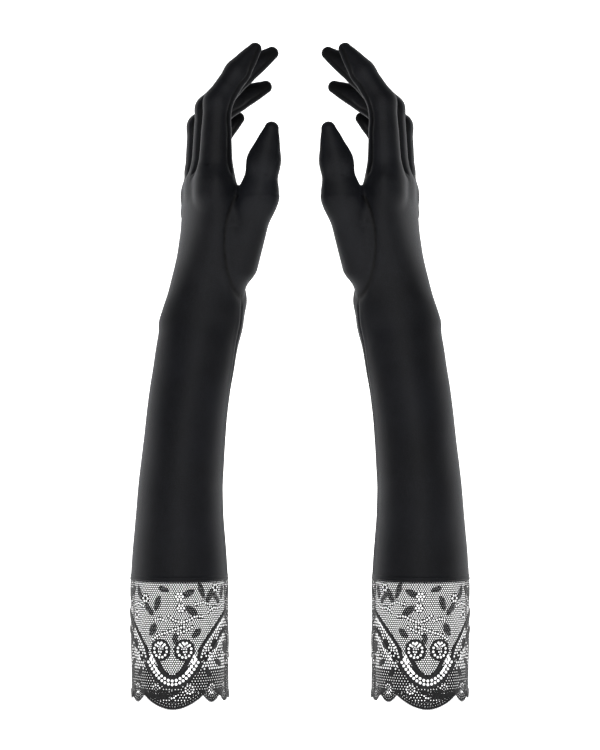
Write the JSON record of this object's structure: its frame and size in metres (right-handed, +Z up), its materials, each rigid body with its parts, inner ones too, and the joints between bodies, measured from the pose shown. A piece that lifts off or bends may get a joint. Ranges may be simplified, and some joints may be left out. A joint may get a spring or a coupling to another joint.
{
  "type": "opera gloves",
  "caption": "Pair of elbow-length satin opera gloves with scalloped lace cuffs, filled as if worn on raised hands, with hinged wrists, thumbs and fingers.",
  "frame": {"origin": "centre of the left glove's arm opening, level with the lowest points of the lace scallops", "axes": "+Z up towards the fingertips, +X from the left glove towards the right glove, +Y away from the thumbs"},
  "size_m": [0.2308, 0.0919, 0.4481],
  "materials": {
    "satin": "fine stretch satin",
    "lace": "stretch lace"
  },
  "bodies": {
    "left_sleeve": {"left_lace_cuff": "lace", "left_cuff_seam": "satin", "left_sleeve": "satin"},
    "left_palm": {"left_hand": "satin", "left_thumb_gusset": "satin", "left_fourchette_index_middle": "satin", "left_fourchette_middle_ring": "satin", "left_fourchette_ring_little": "satin"},
    "left_thumb": {"left_thumb_proximal": "satin"},
    "left_thumb_end": {"left_thumb_tip": "satin"},
    "left_index_proximal": {"left_index_proximal": "satin"},
    "left_index_middle": {"left_index_middle": "satin"},
    "left_index_tip": {"left_index_tip": "satin"},
    "left_middle_proximal": {"left_middle_proximal": "satin"},
    "left_middle_middle": {"left_middle_middle": "satin"},
    "left_middle_tip": {"left_middle_tip": "satin"},
    "left_ring_proximal": {"left_ring_proximal": "satin"},
    "left_ring_middle": {"left_ring_middle": "satin"},
    "left_ring_tip": {"left_ring_tip": "satin"},
    "left_little_proximal": {"left_little_proximal": "satin"},
    "left_little_middle": {"left_little_middle": "satin"},
    "left_little_tip": {"left_little_tip": "satin"},
    "right_sleeve": {"right_lace_cuff": "lace", "right_cuff_seam": "satin", "right_sleeve": "satin"},
    "right_palm": {"right_hand": "satin", "right_thumb_gusset": "satin", "right_fourchette_index_middle": "satin", "right_fourchette_middle_ring": "satin", "right_fourchette_ring_little": "satin"},
    "right_thumb": {"right_thumb_proximal": "satin"},
    "right_thumb_end": {"right_thumb_tip": "satin"},
    "right_index_proximal": {"right_index_proximal": "satin"},
    "right_index_middle": {"right_index_middle": "satin"},
    "right_index_tip": {"right_index_tip": "satin"},
    "right_middle_proximal": {"right_middle_proximal": "satin"},
    "right_middle_middle": {"right_middle_middle": "satin"},
    "right_middle_tip": {"right_middle_tip": "satin"},
    "right_ring_proximal": {"right_ring_proximal": "satin"},
    "right_ring_middle": {"right_ring_middle": "satin"},
    "right_ring_tip": {"right_ring_tip": "satin"},
    "right_little_proximal": {"right_little_proximal": "satin"},
    "right_little_middle": {"right_little_middle": "satin"},
    "right_little_tip": {"right_little_tip": "satin"}
  },
  "joints": [
    {"name": "pair_spacing", "type": "slide", "parent": "left_sleeve", "child": "right_sleeve", "axis": [1, 0, 0], "range_m": [0, 0.2]},
    {"name": "left_wrist", "type": "hinge", "parent": "left_sleeve", "child": "left_palm", "pos_m": [0.01457, 0.0031, 0.258], "axis": [-0.2079, 0.9781, 0], "range_deg": [-40, 6]},
    {"name": "right_wrist", "type": "hinge", "parent": "right_sleeve", "child": "right_palm", "pos_m": [0.14943, 0.0031, 0.258], "axis": [-0.2079, -0.9781, 0], "range_deg": [-40, 6]},
    {"name": "left_thumb_root", "type": "hinge", "parent": "left_palm", "child": "left_thumb", "pos_m": [0.054, -0.02993, 0.344], "axis": [0.9781, 0.2079, 0], "range_deg": [-15, 25]},
    {"name": "right_thumb_root", "type": "hinge", "parent": "right_palm", "child": "right_thumb", "pos_m": [0.11, -0.02993, 0.344], "axis": [0.9781, -0.2079, 0], "range_deg": [-15, 25]},
    {"name": "left_thumb_tip", "type": "hinge", "parent": "left_thumb", "child": "left_thumb_end", "pos_m": [0.0576, -0.0353, 0.367], "axis": [-0.9781, -0.2079, 0], "range_deg": [-10, 45]},
    {"name": "right_thumb_tip", "type": "hinge", "parent": "right_thumb", "child": "right_thumb_end", "pos_m": [0.1064, -0.0353, 0.367], "axis": [-0.9781, 0.2079, 0], "range_deg": [-10, 45]},
    {"name": "left_index_root", "type": "hinge", "parent": "left_palm", "child": "left_index_proximal", "pos_m": [0.02416, -0.02758, 0.364], "axis": [-0.2079, 0.9781, 0], "range_deg": [-20, 45]},
    {"name": "right_index_root", "type": "hinge", "parent": "right_palm", "child": "right_index_proximal", "pos_m": [0.13984, -0.02758, 0.364], "axis": [-0.2079, -0.9781, 0], "range_deg": [-20, 45]},
    {"name": "left_index_middle", "type": "hinge", "parent": "left_index_proximal", "child": "left_index_middle", "pos_m": [0.02679, -0.02702, 0.40792], "axis": [-0.2079, 0.9781, 0], "range_deg": [-28, 55]},
    {"name": "right_index_middle", "type": "hinge", "parent": "right_index_proximal", "child": "right_index_middle", "pos_m": [0.13721, -0.02702, 0.40792], "axis": [-0.2079, -0.9781, 0], "range_deg": [-28, 55]},
    {"name": "left_index_tip", "type": "hinge", "parent": "left_index_middle", "child": "left_index_tip", "pos_m": [0.03957, -0.0243, 0.42805], "axis": [-0.2079, 0.9781, 0], "range_deg": [-8.4, 16.5]},
    {"name": "right_index_tip", "type": "hinge", "parent": "right_index_middle", "child": "right_index_tip", "pos_m": [0.12442, -0.0243, 0.42805], "axis": [-0.2079, -0.9781, 0], "range_deg": [-8.4, 16.5]},
    {"name": "left_middle_root", "type": "hinge", "parent": "left_palm", "child": "left_middle_proximal", "pos_m": [0.01844, -0.00692, 0.365], "axis": [-0.2079, 0.9781, 0], "range_deg": [-20, 55]},
    {"name": "right_middle_root", "type": "hinge", "parent": "right_palm", "child": "right_middle_proximal", "pos_m": [0.14556, -0.00692, 0.365], "axis": [-0.2079, -0.9781, 0], "range_deg": [-20, 55]},
    {"name": "left_middle_middle", "type": "hinge", "parent": "left_middle_proximal", "child": "left_middle_middle", "pos_m": [0.02049, -0.00648, 0.40494], "axis": [-0.2079, 0.9781, 0], "range_deg": [-38, 45]},
    {"name": "right_middle_middle", "type": "hinge", "parent": "right_middle_proximal", "child": "right_middle_middle", "pos_m": [0.14351, -0.00648, 0.40494], "axis": [-0.2079, -0.9781, 0], "range_deg": [-38, 45]},
    {"name": "left_middle_tip", "type": "hinge", "parent": "left_middle_middle", "child": "left_middle_tip", "pos_m": [0.04176, -0.00196, 0.4291], "axis": [-0.2079, 0.9781, 0], "range_deg": [-11.4, 13.5]},
    {"name": "right_middle_tip", "type": "hinge", "parent": "right_middle_middle", "child": "right_middle_tip", "pos_m": [0.12224, -0.00196, 0.4291], "axis": [-0.2079, -0.9781, 0], "range_deg": [-11.4, 13.5]},
    {"name": "left_ring_root", "type": "hinge", "parent": "left_palm", "child": "left_ring_proximal", "pos_m": [0.01301, 0.01381, 0.363], "axis": [-0.2079, 0.9781, 0], "range_deg": [-20, 55]},
    {"name": "right_ring_root", "type": "hinge", "parent": "right_palm", "child": "right_ring_proximal", "pos_m": [0.15099, 0.01381, 0.363], "axis": [-0.2079, -0.9781, 0], "range_deg": [-20, 55]},
    {"name": "left_ring_middle", "type": "hinge", "parent": "left_ring_proximal", "child": "left_ring_middle", "pos_m": [0.01409, 0.01404, 0.39448], "axis": [-0.2079, 0.9781, 0], "range_deg": [-48, 40]},
    {"name": "right_ring_middle", "type": "hinge", "parent": "right_ring_proximal", "child": "right_ring_middle", "pos_m": [0.14991, 0.01404, 0.39448], "axis": [-0.2079, -0.9781, 0], "range_deg": [-48, 40]},
    {"name": "left_ring_tip", "type": "hinge", "parent": "left_ring_middle", "child": "left_ring_tip", "pos_m": [0.0376, 0.01903, 0.41326], "axis": [-0.2079, 0.9781, 0], "range_deg": [-14.4, 12]},
    {"name": "right_ring_tip", "type": "hinge", "parent": "right_ring_middle", "child": "right_ring_tip", "pos_m": [0.1264, 0.01903, 0.41326], "axis": [-0.2079, -0.9781, 0], "range_deg": [-14.4, 12]},
    {"name": "left_little_root", "type": "hinge", "parent": "left_palm", "child": "left_little_proximal", "pos_m": [0.01067, 0.03447, 0.352], "axis": [-0.2079, 0.9781, 0], "range_deg": [-20, 55]},
    {"name": "right_little_root", "type": "hinge", "parent": "right_palm", "child": "right_little_proximal", "pos_m": [0.15333, 0.03447, 0.352], "axis": [-0.2079, -0.9781, 0], "range_deg": [-20, 55]},
    {"name": "left_little_middle", "type": "hinge", "parent": "left_little_proximal", "child": "left_little_middle", "pos_m": [0.01312, 0.03499, 0.37587], "axis": [-0.2079, 0.9781, 0], "range_deg": [-34, 50]},
    {"name": "right_little_middle", "type": "hinge", "parent": "right_little_proximal", "child": "right_little_middle", "pos_m": [0.15088, 0.03499, 0.37587], "axis": [-0.2079, -0.9781, 0], "range_deg": [-34, 50]},
    {"name": "left_little_tip", "type": "hinge", "parent": "left_little_middle", "child": "left_little_tip", "pos_m": [0.02654, 0.03784, 0.3911], "axis": [-0.2079, 0.9781, 0], "range_deg": [-10.2, 15]},
    {"name": "right_little_tip", "type": "hinge", "parent": "right_little_middle", "child": "right_little_tip", "pos_m": [0.13746, 0.03784, 0.3911], "axis": [-0.2079, -0.9781, 0], "range_deg": [-10.2, 15]}
  ],
  "couplings": [
    {"joint": "left_index_tip", "follows": "left_index_middle", "ratio": 0.3},
    {"joint": "right_index_tip", "follows": "right_index_middle", "ratio": 0.3},
    {"joint": "left_middle_tip", "follows": "left_middle_middle", "ratio": 0.3},
    {"joint": "right_middle_tip", "follows": "right_middle_middle", "ratio": 0.3},
    {"joint": "left_ring_tip", "follows": "left_ring_middle", "ratio": 0.3},
    {"joint": "right_ring_tip", "follows": "right_ring_middle", "ratio": 0.3},
    {"joint": "left_little_tip", "follows": "left_little_middle", "ratio": 0.3},
    {"joint": "right_little_tip", "follows": "right_little_middle", "ratio": 0.3}
  ]
}
